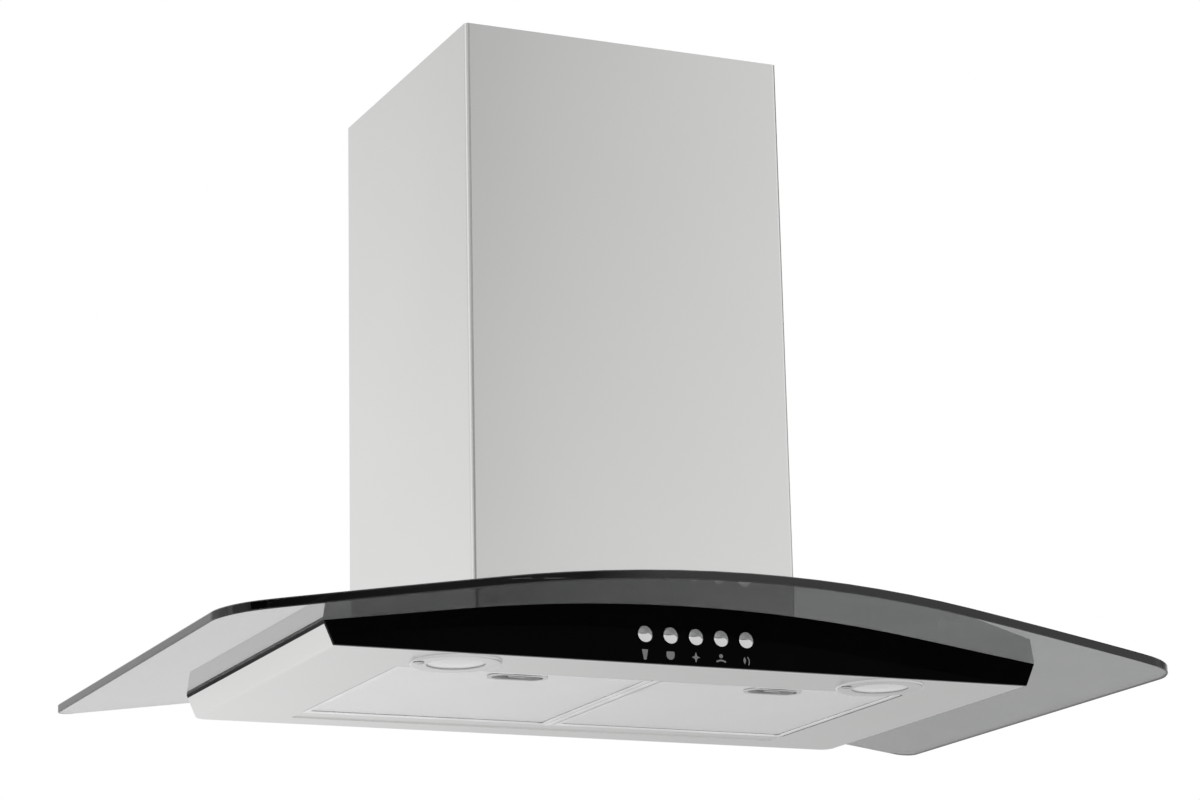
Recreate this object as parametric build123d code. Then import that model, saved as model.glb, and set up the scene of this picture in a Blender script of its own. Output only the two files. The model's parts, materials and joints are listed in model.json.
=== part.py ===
from build123d import *
import os
from math import asin, cos, radians, sin, sqrt, tan

# Wall-hung curved glass range hood, millimetres.
# +X is to the right seen from the front, +Y goes into the wall, +Z is up.
# It is drawn with the wall at y = 0 and the underside at z = 0. When a piece is saved it is set down so
# that the middle of the four wall screw holes is the origin.

# ---- Glass canopy ----
GLASS_WIDTH = 900.0
GLASS_T = 8.0
GLASS_CORNER_DEPTH = 505.0      # wall to the front corners, before they are rounded
GLASS_BOW = 36.0                # the front edge reaches this much further on the centre line
GLASS_FRONT_R = 40.0
GLASS_REAR_R = 18.0
GLASS_EDGE = 1.0                # ground edge
BEND_R = 1600.0                 # bend of the glass's top face
BEND_HALF = 220.0               # the bend ends here, and flat wings run on from it
WALL_GAP = 1.0                  # glass and covers stay this far from the wall
NOTCH_CLEARANCE = 6.0           # glass round the blower box
NOTCH_R = 12.0

# ---- Steel body under the glass ----
BODY_WIDTH = 662.0              # at the underside
BODY_FLARE = 0.44               # the sides lean out by this much for each millimetre of height
BODY_HEIGHT = 52.5              # underside to the glass, on the centre line
BODY_DEPTH = 434.0              # wall to the fascia's face
BODY_SETBACK = 48.0             # wall to the body's rear side
BODY_REAR_R = 12.0
FOLD_R = 2.5
SHEET = 1.0
SEAL_T = 3.0
SEAL_W = 8.0
FASCIA_T = 4.0
SEAT = 0.3                      # gap of a seated piece

# ---- Controls ----
BUTTON_COUNT = 5
BUTTON_PITCH = 24.2
BUTTON_R = 7.0
BUTTON_Z = 25.0
BUTTON_PROUD = 4.5
BUTTON_SHOULDER = 1.8           # straight part of the cap in front of the fascia
BUTTON_TRAVEL = 2.0
BUTTON_FLANGE_T = 1.5
BUTTON_STEM_R = 3.0
BUTTON_STEM = 16.0
BUTTON_FLANGE_GROW = 1.2        # retaining flange's radius over the cap's
SWITCH_WALL = 4.0
SWITCH_DEPTH = 24.0
SWITCH_MARGIN = 3.0             # window round the row of buttons
SWITCH_END_MARGIN = 5.5
SWITCH_FLOOR_GAP = 1.2          # a pressed button's flange stops this far from the case

# ---- Lamps ----
LAMP_INSET = 126.0              # body's side at the underside to the middle of the lamp
LAMP_SETBACK = 46.0             # fascia's face to the middle of the lamp
LAMP_BEZEL_R = 40.0
LAMP_BEZEL_T = 2.0
LAMP_GLASS_R = 25.5             # clear opening of the bezel
LAMP_SLEEVE_R = 30.0
LAMP_SLEEVE = 12.0
LAMP_LENS_T = 2.0
LAMP_CAN_H = 25.0
LAMP_SCREW_OFFSET = 34.0
LAMP_SCREW_HEAD_R = 5.0
LAMP_SCREW_HEAD_H = 1.4

# ---- Grease filters ----
FILTER_SIDE = 84.0              # body's side at the underside to the filter opening
FILTER_FRONT = 79.0             # fascia's face to the filter's front edge
FILTER_T = 9.0
FILTER_Z = 0.3                  # filter's underside above the body's underside
FILTER_REAR = 110.0             # wall to the filter's rear edge
FILTER_SKIN = 1.0
FILTER_LIP = 5.0
DIVIDER_W = 6.0
EDGE_GAP = 1.0                  # round each filter
LEDGE_SHOWN = 28.0              # strip seen behind the filters
LEDGE_OVERLAP = 12.0
BEAD_R = 1.0                    # rolled front edge of that strip, which the filters' tabs hook over
TAB_W = 20.0
TAB_T = 1.5
TAB_REACH = 7.0
TAB_SPREAD = 80.0

# ---- Filter latches ----
LATCH_INSET = 22.0              # filter's front edge to the middle of the finger cup
CUP_L = 50.0
CUP_W = 20.0
CUP_RIM = 3.0
CUP_WALL = 1.2
TONGUE_W = 16.0
TONGUE_T = 1.6
TONGUE_REACH = 1.6              # past the filter's front edge, short of the floor
LATCH_TRAVEL = 6.0

# ---- Blower box behind the covers ----
BOX_WIDTH = 280.0
BOX_DEPTH = 270.0
BOX_TOP = 331.0
BOX_FLANGE = 15.0
HOLE_INSET = 25.0               # box's side to the wall screw holes
HOLE_SPAN_Z = 120.0
HOLE_MID_Z = 220.0
HOLE_R = 4.0
PLATE_W = 34.0
PLATE_T = 2.0

# ---- Blower ----
FAN_Z = 200.0
FAN_R = 72.0
FAN_BLADE_DEPTH = 12.0
FAN_WIDTH = 104.0
FAN_BLADES = 36
FAN_RING = 3.0
FAN_DISC_T = 1.6
BLADE_SWEEP = 6.0               # degrees from the blade's root to its tip
BLADE_ANGLE = 1.2               # degrees that a blade's thickness takes up
HUB_R = 12.0
HUB_L = 17.0
SCROLL_WIDTH = 124.0
SCROLL_MAX = 118.0
SCROLL_STEP = 10.0
SCROLL_TONGUE = 35.0            # degrees past the top
SCROLL_T = 1.2
SCROLL_FLANGE = 12.0
INLET_R = 60.0
INLET_LIP = 6.0
INLET_RIM_R = 78.0              # outer edge of the inlet rings and of the motor's bracket
MOTOR_R = 40.0
MOTOR_FRONT_GAP = 14.0          # motor's end to the impeller's middle disc
SHAFT_R = 4.0
SHAFT_CLEARANCE = 0.05
BEARING_R = 9.0
BEARING_L = 6.0
BRACKET_T = 2.0
BRACKET_ARM = 14.0
MOTOR_END_R = 36.8              # motor and bracket's boss at the motor's ends
MOTOR_SCREW_CIRCLE = 28.8
MOTOR_RIB = 2.0                 # pitch and depth of the barrel's grooves

# ---- Duct outlet ----
DUCT_R = 74.5
DUCT_FORWARD = 45.0             # the duct's middle lies this far in front of the fan's
DUCT_WALL = 2.0
DUCT_LENGTH = 40.0
ADAPTER_RISE = 38.0
ADAPTER_FLANGE_T = 3.0
ADAPTER_FLANGE = 10.0
ADAPTER_CORNER_R = 6.0
FLAP_SEAT = 3.0                 # ring inside the spigot that the flaps lie on
FLAP_PIN_R = 2.0
FLAP_T = 1.2
FLAP_EDGE_GAP = 1.0
FLAP_KNUCKLE_R = 4.0
FLAP_KNUCKLES = 4
FLAP_HINGE_SHARE = 0.75         # part of the pin that the knuckles take up
FLAP_HEIGHT = 14.0              # pin above the spigot's foot

# ---- Chimney covers ----
CHIMNEY_WIDTH = 320.0
CHIMNEY_DEPTH = 318.0
CHIMNEY_TOP = 612.0
CHIMNEY_FOLD = 4.0
CHIMNEY_LIP = 12.0
SLIDE_GAP = 0.75
UPPER_LENGTH = 532.0
UPPER_DROP = 2.0                # the retracted cover stays this far under the outer one's top
BRACKET_H = 25.0
BRACKET_TAB = 25.0
BRACKET_SPAN = 220.0
BRACKET_HOLE_R = 3.0
BRACKET_INSET = 10.0

# ---- Electrics on the blower box ----
TERMINAL_W = 46.0
TERMINAL_L = 68.0
TERMINAL_H = 40.0
TERMINAL_CORNER_R = 3.0
TERMINAL_EDGE_R = 1.0
LID_LINE = 1.0                  # depth of the groove under the lid
GLAND_R = 9.0
GLAND_H = 14.0
CAPACITOR_R = 17.5
CAPACITOR_H = 60.0
BLADE_W = 6.0                   # flat terminals on the capacitor
BLADE_T = 0.8
BLADE_H = 8.0
STRAP_T = 1.2
STRAP_H = 12.0

# ---- Screws ----
SCREW_R = 2.0
SCREW_HEAD_R = 4.0
SCREW_HEAD_H = 2.4
SCREW_END = 2.5                 # thread that stands out past the sheets
SCREW_CLEARANCE = 0.1
GLASS_SCREW_R = 2.5
GLASS_SCREW_HEAD_R = 6.5
GLASS_SCREW_HEAD_H = 3.5
GLASS_NUT_R = 4.75              # over its corners
GLASS_NUT_H = 4.0
GLASS_HOLE_R = 4.5
GLASS_WASHER_R = 9.0
GLASS_WASHER_T = 1.5
GLASS_SCREW_INSET = 25.0        # front pair, in from the blower box's sides
GLASS_SCREW_MARGIN = 23.0       # front pair, in front of the blower box
GLASS_SCREW_OUTSIDE = 34.0      # rear pair, out from the chimney's sides
GLASS_SCREW_REAR = 28.0         # rear pair, in front of the body's rear side

# ---- Worked out from the sizes above ----
GLASS_TOP = BODY_HEIGHT + GLASS_T
BEND_ANGLE = asin(BEND_HALF / BEND_R)
SEAL_FACE = GLASS_T + SEAL_T            # depths below the glass's top face, square to it
COVER_FACE = SEAL_FACE + SHEET
HALF_GLASS = GLASS_WIDTH / 2
HALF_BODY = BODY_WIDTH / 2
FASCIA_BACK = -BODY_DEPTH + FASCIA_T
BODY_REAR = -BODY_SETBACK
HALF_BOX = BOX_WIDTH / 2
HALF_SCROLL = SCROLL_WIDTH / 2
HALF_CHIMNEY = CHIMNEY_WIDTH / 2
LAMP_X = HALF_BODY - LAMP_INSET
LAMP_Y = -BODY_DEPTH + LAMP_SETBACK
FILTER_BACK_Y = -FILTER_REAR
FILTER_FRONT_Y = -BODY_DEPTH + FILTER_FRONT
FILTER_TOP_Z = FILTER_Z + FILTER_T
OPENING_HALF = HALF_BODY - FILTER_SIDE
FILTER_W = OPENING_HALF - DIVIDER_W / 2 - 2 * EDGE_GAP
FILTER_X = DIVIDER_W / 2 + EDGE_GAP + FILTER_W / 2
OPENING_FRONT_Y = FILTER_FRONT_Y - 2 * EDGE_GAP
OPENING_REAR_Y = FILTER_BACK_Y + LEDGE_SHOWN
BEAD_Y = FILTER_BACK_Y + 2.5 * EDGE_GAP
BEAD_Z = SHEET * 1.5
DIVIDER_REAR_Y = BEAD_Y - BEAD_R - SEAT
LATCH_Y = FILTER_FRONT_Y + LATCH_INSET
TONGUE_Z = FILTER_TOP_Z - FILTER_SKIN - CUP_WALL - 2 * SEAT - TONGUE_T
HOLE_SPAN_X = BOX_WIDTH - 2 * HOLE_INSET
FAN_Y = -BOX_DEPTH / 2
DUCT_Y = FAN_Y - DUCT_FORWARD
SCROLL_END = SCROLL_MAX - 3 * SCROLL_STEP
OUTLET_FRONT_Y = FAN_Y - SCROLL_MAX
OUTLET_REAR_Y = FAN_Y + SCROLL_STEP - SCROLL_END * sin(radians(SCROLL_TONGUE))
BOX_CEILING = BOX_TOP - SHEET
SPIGOT_Z = BOX_TOP + ADAPTER_FLANGE_T + ADAPTER_RISE
FLAP_Z = SPIGOT_Z + FLAP_HEIGHT
FAR = 2000.0                            # longer than anything here, for cutting
CUT = 1.0                               # how far a cutter runs past a face

BUTTON_NAMES = ("light", "stop", "low", "medium", "high")
SIDES = {"left": -1, "right": 1}
GLASS_SCREWS = [(s * (HALF_BOX - GLASS_SCREW_INSET), -BOX_DEPTH - GLASS_SCREW_MARGIN) for s in (-1, 1)]
GLASS_SCREWS += [(s * (HALF_CHIMNEY + GLASS_SCREW_OUTSIDE), BODY_REAR - GLASS_SCREW_REAR) for s in (-1, 1)]


# ---- Shared shapes ----

def block(x0, x1, y0, y1, z0, z1):
    """Box between two corners."""
    return Pos((x0 + x1) / 2, (y0 + y1) / 2, (z0 + z1) / 2) * Box(x1 - x0, y1 - y0, z1 - z0)


def rod(x, y, z0, z1, r):
    """Upright cylinder."""
    return Pos(x, y, (z0 + z1) / 2) * Cylinder(r, z1 - z0)


def rod_y(x, y0, y1, z, r):
    """Cylinder along Y."""
    return Pos(x, (y0 + y1) / 2, z) * Rot(90, 0, 0) * Cylinder(r, y1 - y0)


def rod_x(x0, x1, y, z, r):
    """Cylinder along X."""
    return Pos((x0 + x1) / 2, y, z) * Rot(0, 90, 0) * Cylinder(r, x1 - x0)


def stadium(x, y, z0, z1, length, width):
    """Upright prism of a slot with round ends, long way along X."""
    return Pos(x, y, z0) * extrude(SlotOverall(length, width), z1 - z0)


def bend_z(x, depth=0.0):
    """Height at x of the surface that lies `depth` below the glass's top face, square to it."""
    r = BEND_R - depth
    centre = GLASS_TOP - BEND_R
    end = r * sin(BEND_ANGLE)
    if abs(x) <= end:
        return centre + sqrt(r * r - x * x)
    return centre + r * cos(BEND_ANGLE) - (abs(x) - end) * tan(BEND_ANGLE)


def bend_line(depth, half):
    """That surface's section from -half to half: an arc with straight wings."""
    end = (BEND_R - depth) * sin(BEND_ANGLE)
    reach = min(end, half)
    top = ThreePointArc((-reach, bend_z(reach, depth)), (0, bend_z(0, depth)), (reach, bend_z(reach, depth)))
    if half <= end:
        return [top]
    left = Line((-half, bend_z(half, depth)), (-reach, bend_z(reach, depth)))
    right = Line((reach, bend_z(reach, depth)), (half, bend_z(half, depth)))
    return [left, top, right]


def bent_slab(top_depth, bottom_depth, half, y_front, y_rear):
    """Sheet that follows the glass's bend, between two depths below its top face."""
    top, bottom = bend_z(half, top_depth), bend_z(half, bottom_depth)
    ends = [Line((s * half, top), (s * half, bottom)) for s in (-1, 1)]
    section = make_face(bend_line(top_depth, half) + bend_line(bottom_depth, half) + ends)
    return Pos(0, y_rear, 0) * extrude(Plane.XZ * section, y_rear - y_front)


def below_bend(depth, half, floor, y_front, y_rear):
    """Everything between a floor height and the surface `depth` below the glass's top face."""
    corners = [(-half, bend_z(half, depth)), (-half, floor), (half, floor), (half, bend_z(half, depth))]
    section = make_face(bend_line(depth, half) + [Polyline(*corners)])
    return Pos(0, y_rear, 0) * extrude(Plane.XZ * section, y_rear - y_front)


def body_prism(inset, top):
    """The body's flared outline, moved in by `inset`, from its floor up to `top`."""
    lean = inset * sqrt(1 + BODY_FLARE ** 2)
    foot = HALF_BODY + BODY_FLARE * inset - lean
    head = HALF_BODY + BODY_FLARE * top - lean
    section = make_face(Polyline((-foot, inset), (foot, inset), (head, top), (-head, top), close=True))
    prism = Pos(0, BODY_REAR - inset, 0) * extrude(Plane.XZ * section, BODY_REAR - FASCIA_BACK - 2 * inset)
    rear = prism.faces().sort_by(Axis.Y)[-1]
    uprights = [e for e in rear.edges() if abs(e.tangent_at(0.5).Z) > 0.5]
    prism = fillet(uprights, max(BODY_REAR_R - inset, SHEET))
    floor = prism.faces().sort_by(Axis.Z)[0]
    return fillet(floor.edges(), max(FOLD_R - inset, SHEET / 2))


def dome(r, foot, top):
    """Half of a round dome's section, from its edge at radius r to its tip on the axis."""
    rise = top - foot
    ball = (r * r + rise * rise) / (2 * rise)
    half_angle = asin(r / ball) / 2
    middle = (ball * sin(half_angle), top - ball + ball * cos(half_angle))
    return ThreePointArc((r, foot), middle, (0, top))


def screw(x, y, z, length, r=SCREW_R, head_r=SCREW_HEAD_R, head_h=SCREW_HEAD_H):
    """Upright screw that points down, its domed head standing on height z."""
    rim = head_h * 0.35
    shank = Polyline((0, head_h), (0, -length), (r, -length), (r, 0), (head_r, 0), (head_r, rim))
    profile = make_face([shank, dome(head_r, rim, head_h)])
    return Pos(x, y, z) * revolve(Plane.XZ * profile, Axis.Z)


def group(solids):
    """Like pieces that share one node."""
    return Compound(children=list(solids))


# ---- Glass, seal and what clamps the glass ----

def is_upright(edge):
    """Whether an edge runs through the glass from its top face to its underside."""
    return edge.length < 2 * GLASS_T and abs(edge.tangent_at(0.5).Z) > 0.5


def glass_canopy():
    """Bent sheet with a bowed front edge, round corners and a notch at the wall for the blower box."""
    rear = -WALL_GAP
    corner = -GLASS_CORNER_DEPTH
    outline = make_face([
        Polyline((-HALF_GLASS, corner), (-HALF_GLASS, rear), (HALF_GLASS, rear), (HALF_GLASS, corner)),
        ThreePointArc((-HALF_GLASS, corner), (0, corner - GLASS_BOW), (HALF_GLASS, corner)),
    ])
    ranked = outline.vertices().sort_by(Axis.Y)
    outline = fillet(ranked[:2], GLASS_FRONT_R)
    outline = fillet(outline.vertices().sort_by(Axis.Y)[-2:], GLASS_REAR_R)
    plan = Pos(0, 0, -FAR / 2) * extrude(outline, FAR)
    sheet = bent_slab(0, GLASS_T, HALF_GLASS + CUT, corner - GLASS_BOW - CUT, 0) & plan
    half = HALF_BOX + NOTCH_CLEARANCE
    depth = BOX_DEPTH + NOTCH_CLEARANCE
    notch = block(-half, half, -depth, depth, -FAR / 4, FAR / 4)
    notch = fillet(notch.edges().filter_by(Axis.Z).sort_by(Axis.Y)[:2], NOTCH_R)
    sheet -= notch
    sheet = chamfer([e for e in sheet.edges() if not is_upright(e)], GLASS_EDGE)
    for x, y in GLASS_SCREWS:
        sheet -= rod(x, y, 0, GLASS_TOP + CUT, GLASS_HOLE_R)
    return sheet


def glass_seal():
    """Black rubber strip that the glass lies on, round the top of the body."""
    band = bent_slab(GLASS_T, SEAL_FACE, HALF_GLASS, FASCIA_BACK, BODY_REAR)
    band &= body_prism(0, GLASS_TOP) - body_prism(SEAL_W, GLASS_TOP + CUT)
    return band - block(-HALF_BOX - EDGE_GAP, HALF_BOX + EDGE_GAP, -BOX_DEPTH, 0, 0, FAR)


def glass_washers():
    """A washer under and over the glass at each fixing screw."""
    lower = bent_slab(GLASS_T, SEAL_FACE, HALF_GLASS, -BODY_DEPTH, 0)
    upper = bent_slab(-GLASS_WASHER_T, 0, HALF_GLASS, -BODY_DEPTH, 0)
    rings = []
    for x, y in GLASS_SCREWS:
        ring = rod(x, y, 0, GLASS_TOP * 2, GLASS_WASHER_R)
        ring -= rod(x, y, -CUT, GLASS_TOP * 2 + CUT, GLASS_SCREW_R + SEAT)
        rings += [(lower & ring).solid(), (upper & ring).solid()]
    return group(rings)


def glass_screws():
    """Dome-headed screws that clamp the glass, with their nuts."""
    pieces = []
    for x, y in GLASS_SCREWS:
        seat = bend_z(abs(x) - GLASS_SCREW_HEAD_R, -GLASS_WASHER_T) + SEAT
        nut_top = bend_z(abs(x) + GLASS_NUT_R, COVER_FACE) - SEAT
        nut = Pos(x, y, nut_top - GLASS_NUT_H) * extrude(RegularPolygon(GLASS_NUT_R, 6), GLASS_NUT_H)
        nut -= rod(x, y, 0, GLASS_TOP, GLASS_SCREW_R)
        length = seat - nut_top + GLASS_NUT_H + GLASS_SCREW_R / 2
        fixing = screw(x, y, seat, length, GLASS_SCREW_R, GLASS_SCREW_HEAD_R, GLASS_SCREW_HEAD_H)
        pieces += [fixing.solid(), nut.solid()]
    return group(pieces)


# ---- Steel body ----

def underside_pan():
    """Folded steel tray: floor with the filter opening and lamp holes, and four sides up to the cover."""
    pan = body_prism(0, GLASS_TOP) - body_prism(SHEET, GLASS_TOP + CUT)
    pan &= below_bend(SEAL_FACE, HALF_GLASS, -CUT, -BODY_DEPTH, 0)
    opening = block(-OPENING_HALF, OPENING_HALF, OPENING_FRONT_Y, OPENING_REAR_Y, -CUT, SHEET + CUT)
    pan -= fillet(opening.edges().filter_by(Axis.Z), 4 * EDGE_GAP)
    for side in SIDES.values():
        pan -= rod(side * LAMP_X, LAMP_Y, -CUT, SHEET + CUT, LAMP_SLEEVE_R + SEAT)
        pan -= rod(side * LAMP_X - LAMP_SCREW_OFFSET, LAMP_Y, -CUT, SHEET + CUT, SCREW_R + SCREW_CLEARANCE)
    half, low, high = switch_window()
    return pan - block(-half, half, FASCIA_BACK - CUT, FASCIA_BACK + SHEET + CUT, low, high)


def body_top_cover():
    """Bent steel sheet that closes the body under the glass, with the air opening to the blower."""
    cover = bent_slab(SEAL_FACE, COVER_FACE, HALF_GLASS, FASCIA_BACK, BODY_REAR)
    cover &= body_prism(SHEET, GLASS_TOP)
    half, front, rear = air_opening()
    cover -= block(-half, half, front, rear, 0, FAR)
    for x, y in GLASS_SCREWS:
        cover -= rod(x, y, 0, GLASS_TOP, GLASS_SCREW_R + SCREW_CLEARANCE)
    for x, y in box_screw_places():
        cover -= rod(x, y, 0, GLASS_TOP, SCREW_R + SCREW_CLEARANCE)
    return cover


def control_fascia():
    """Black gloss panel: flat foot, arched head under the glass and a row of button holes."""
    plate = below_bend(GLASS_T + SEAT, HALF_GLASS, 0, -BODY_DEPTH, FASCIA_BACK)
    head = HALF_BODY + BODY_FLARE * GLASS_TOP
    corners = [(-HALF_BODY, 0), (HALF_BODY, 0), (head, GLASS_TOP), (-head, GLASS_TOP)]
    sides = make_face(Polyline(*corners, close=True))
    plate &= Pos(0, FASCIA_BACK, 0) * extrude(Plane.XZ * sides, FASCIA_T)
    front = plate.faces().sort_by(Axis.Y)[0]
    plate = chamfer(front.edges(), FASCIA_T / 8)
    for x in button_places():
        plate -= rod_y(x, -BODY_DEPTH - CUT, FASCIA_BACK + CUT, BUTTON_Z, BUTTON_R + SEAT)
    return plate


# ---- Controls ----

def button_places():
    return [(i - (BUTTON_COUNT - 1) / 2) * BUTTON_PITCH for i in range(BUTTON_COUNT)]


def switch_window():
    """Half width, foot and head of the window behind the buttons."""
    half = button_places()[-1] + BUTTON_R + SWITCH_END_MARGIN
    reach = BUTTON_R + SWITCH_MARGIN
    return half, BUTTON_Z - reach, BUTTON_Z + reach


def push_button(x):
    """Domed cap with a retaining flange behind the fascia and a stem into the switch."""
    tip = -BODY_DEPTH - BUTTON_PROUD
    shoulder = -BODY_DEPTH - BUTTON_SHOULDER
    flange = FASCIA_BACK + SEAT
    flange_end = flange + BUTTON_FLANGE_T
    stem_end = flange_end + BUTTON_STEM
    flange_r = BUTTON_R + BUTTON_FLANGE_GROW
    profile = make_face([
        Polyline((0, tip), (0, stem_end), (BUTTON_STEM_R, stem_end), (BUTTON_STEM_R, flange_end),
                 (flange_r, flange_end), (flange_r, flange), (BUTTON_R, flange), (BUTTON_R, shoulder)),
        dome(BUTTON_R, shoulder, tip),
    ])
    return Pos(x, 0, BUTTON_Z) * revolve(profile, Axis.Y)


def switch_housing():
    """Moulded case of the switch row, with a blind guide bore for each stem."""
    half, low, high = switch_window()
    front = FASCIA_BACK + SHEET
    back = front + SWITCH_DEPTH
    case = block(-half - SWITCH_WALL, half + SWITCH_WALL, front, back, low - SWITCH_WALL, high + SWITCH_WALL)
    case = fillet(case.edges().filter_by(Axis.Y), SWITCH_WALL / 2)
    floor = FASCIA_BACK + SEAT + BUTTON_FLANGE_T + BUTTON_TRAVEL + SWITCH_FLOOR_GAP
    case -= block(-half, half, front - CUT, floor, low, high)
    bore_end = floor + BUTTON_STEM
    for x in button_places():
        case -= rod_y(x, front, bore_end, BUTTON_Z, BUTTON_STEM_R + SEAT)
    return case


# ---- Lamps ----

def lamp_bezel(x):
    """Bright ring under the body, with a sleeve up through the floor."""
    lip = LAMP_SLEEVE_R - FASCIA_T / 2
    seat = -LAMP_BEZEL_T / 2
    edge = LAMP_BEZEL_T / 2
    profile = make_face([
        Polyline((LAMP_GLASS_R, -LAMP_BEZEL_T), (LAMP_GLASS_R, seat), (lip, seat), (lip, LAMP_SLEEVE),
                 (LAMP_SLEEVE_R, LAMP_SLEEVE), (LAMP_SLEEVE_R, 0), (LAMP_BEZEL_R, 0)),
        ThreePointArc((LAMP_BEZEL_R, 0), (LAMP_BEZEL_R - edge * 0.6, -edge * 1.4),
                      (LAMP_BEZEL_R - 2 * edge, -LAMP_BEZEL_T)),
        Line((LAMP_BEZEL_R - 2 * edge, -LAMP_BEZEL_T), (LAMP_GLASS_R, -LAMP_BEZEL_T)),
    ])
    ring = Pos(x, LAMP_Y, 0) * revolve(Plane.XZ * profile, Axis.Z)
    return ring - rod(x - LAMP_SCREW_OFFSET, LAMP_Y, -LAMP_BEZEL_T - CUT, CUT, SCREW_R + SCREW_CLEARANCE)


def lamp_lens(x):
    """Frosted glass disc with a slightly domed face, lying on the bezel's inner lip."""
    r = LAMP_SLEEVE_R - FASCIA_T / 2 - SEAT
    foot = -LAMP_BEZEL_T / 2 + SEAT
    clear = LAMP_GLASS_R - SEAT
    tip = foot - LAMP_BEZEL_T / 2
    back = foot + LAMP_LENS_T
    disc = Polyline((0, tip), (0, back), (r, back), (r, foot), (clear, foot))
    profile = make_face([disc, dome(clear, foot, tip)])
    return Pos(x, LAMP_Y, 0) * revolve(Plane.XZ * profile, Axis.Z)


def lamp_can(x):
    """Lamp body above the lens: a drum with cooling grooves and a narrower cap."""
    foot = -LAMP_BEZEL_T / 2 + LAMP_LENS_T + 2 * SEAT
    drum_r = LAMP_SLEEVE_R - FASCIA_T / 2 - SEAT
    can = rod(x, LAMP_Y, foot, LAMP_SLEEVE + SEAT, drum_r)
    can += rod(x, LAMP_Y, LAMP_SLEEVE + SEAT, LAMP_CAN_H, drum_r * 0.75)
    can += rod(x, LAMP_Y, LAMP_CAN_H, LAMP_CAN_H + LAMP_BEZEL_T, drum_r * 0.4)
    pitch = (LAMP_CAN_H - LAMP_SLEEVE) / 4
    for i in range(3):
        z = LAMP_SLEEVE + (i + 0.75) * pitch
        can -= rod(x, LAMP_Y, z, z + pitch / 2, drum_r) - rod(x, LAMP_Y, z - CUT, z + pitch, drum_r * 0.6)
    return can


def lamp_screws():
    """Small round-headed screw beside each lens."""
    place = -LAMP_BEZEL_T - SEAT
    length = LAMP_BEZEL_T + SHEET + 2 * SCREW_END
    fixing = screw(0, 0, 0, length, SCREW_R, LAMP_SCREW_HEAD_R, LAMP_SCREW_HEAD_H)
    turned = Rot(180, 0, 0) * fixing
    places = [side * LAMP_X - LAMP_SCREW_OFFSET for side in SIDES.values()]
    return group((Pos(x, LAMP_Y, place) * turned).solid() for x in places)


# ---- Grease filters ----

def tongue_slot(x, y0, y1):
    """Cutter for the slot that the latch tongue runs in."""
    half = TONGUE_W / 2 + SEAT
    return block(x - half, x + half, y0, y1, TONGUE_Z - SEAT, TONGUE_Z + TONGUE_T + SEAT)


def filter_frame(side):
    """Folded channel round the mesh, with two rear tabs and a slot for the latch tongue."""
    x = side * FILTER_X
    x0, x1 = x - FILTER_W / 2, x + FILTER_W / 2
    y0, y1 = FILTER_FRONT_Y, FILTER_BACK_Y
    frame = block(x0, x1, y0, y1, FILTER_Z, FILTER_TOP_Z)
    frame = fillet(frame.edges().filter_by(Axis.Z), 3 * FILTER_SKIN)
    lip = FILTER_LIP
    frame -= block(x0 + lip, x1 - lip, y0 + lip, y1 - lip, -CUT, FILTER_TOP_Z + CUT)
    t = FILTER_SKIN
    frame -= block(x0 + t, x1 - t, y0 + t, y1 - t, FILTER_Z + t, FILTER_TOP_Z - t)
    tab_z = BEAD_Z + BEAD_R + SEAT
    for s in (-1, 1):
        tab_x = x + s * TAB_SPREAD
        frame += block(tab_x - TAB_W / 2, tab_x + TAB_W / 2, y1 - t, y1 + TAB_REACH, tab_z, tab_z + TAB_T)
    return frame - tongue_slot(x, y0 - CUT, y0 + t + CUT)


def filter_mesh(side):
    """Pack of expanded aluminium mesh, with an oval hole for the finger cup and a slot for the tongue."""
    x = side * FILTER_X
    rim = FILTER_SKIN + SEAT
    half_w, y0, y1 = FILTER_W / 2 - rim, FILTER_FRONT_Y + rim, FILTER_BACK_Y - rim
    top = FILTER_TOP_Z - rim
    pack = block(x - half_w, x + half_w, y0, y1, FILTER_Z + rim, top)
    pack -= stadium(x, LATCH_Y, 0, FILTER_TOP_Z, CUP_L + 2 * SEAT, CUP_W + 2 * SEAT)
    gap = TONGUE_W / 2 + SEAT
    return pack - block(x - gap, x + gap, y0 - CUT, LATCH_Y, 0, TONGUE_Z + TONGUE_T + SEAT)


def latch_cup(side):
    """Oval finger cup let into the mesh, open below, with a rim and a slot for the tongue."""
    x = side * FILTER_X
    top = FILTER_TOP_Z - FILTER_SKIN - SEAT
    rim_z = FILTER_Z + FILTER_SKIN
    cup = stadium(x, LATCH_Y, rim_z, top, CUP_L, CUP_W)
    cup += stadium(x, LATCH_Y, rim_z - FILTER_SKIN, rim_z, CUP_L + 2 * CUP_RIM, CUP_W + 2 * CUP_RIM)
    inner_l, inner_w = CUP_L - 2 * CUP_WALL, CUP_W - 2 * CUP_WALL
    cup -= stadium(x, LATCH_Y, -CUT, top - CUP_WALL, inner_l, inner_w)
    return cup - tongue_slot(x, LATCH_Y - CUP_W, LATCH_Y)


def latch_slider(side):
    """Finger tab and the tongue that hooks over the edge of the body's floor."""
    x = side * FILTER_X
    rear = LATCH_Y + CUP_W / 2 - CUP_WALL - LATCH_TRAVEL - SEAT
    front = FILTER_FRONT_Y - TONGUE_REACH
    tongue = block(x - TONGUE_W / 2, x + TONGUE_W / 2, front, rear, TONGUE_Z, TONGUE_Z + TONGUE_T)
    nose = tongue.edges().filter_by(Axis.Z).sort_by(Axis.Y)[:2]
    tongue = fillet(nose, TONGUE_REACH / 2)
    tab = block(x - TONGUE_W / 2, x + TONGUE_W / 2, rear - TONGUE_T, rear, FILTER_Z + FILTER_SKIN, TONGUE_Z)
    return tongue + tab


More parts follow.
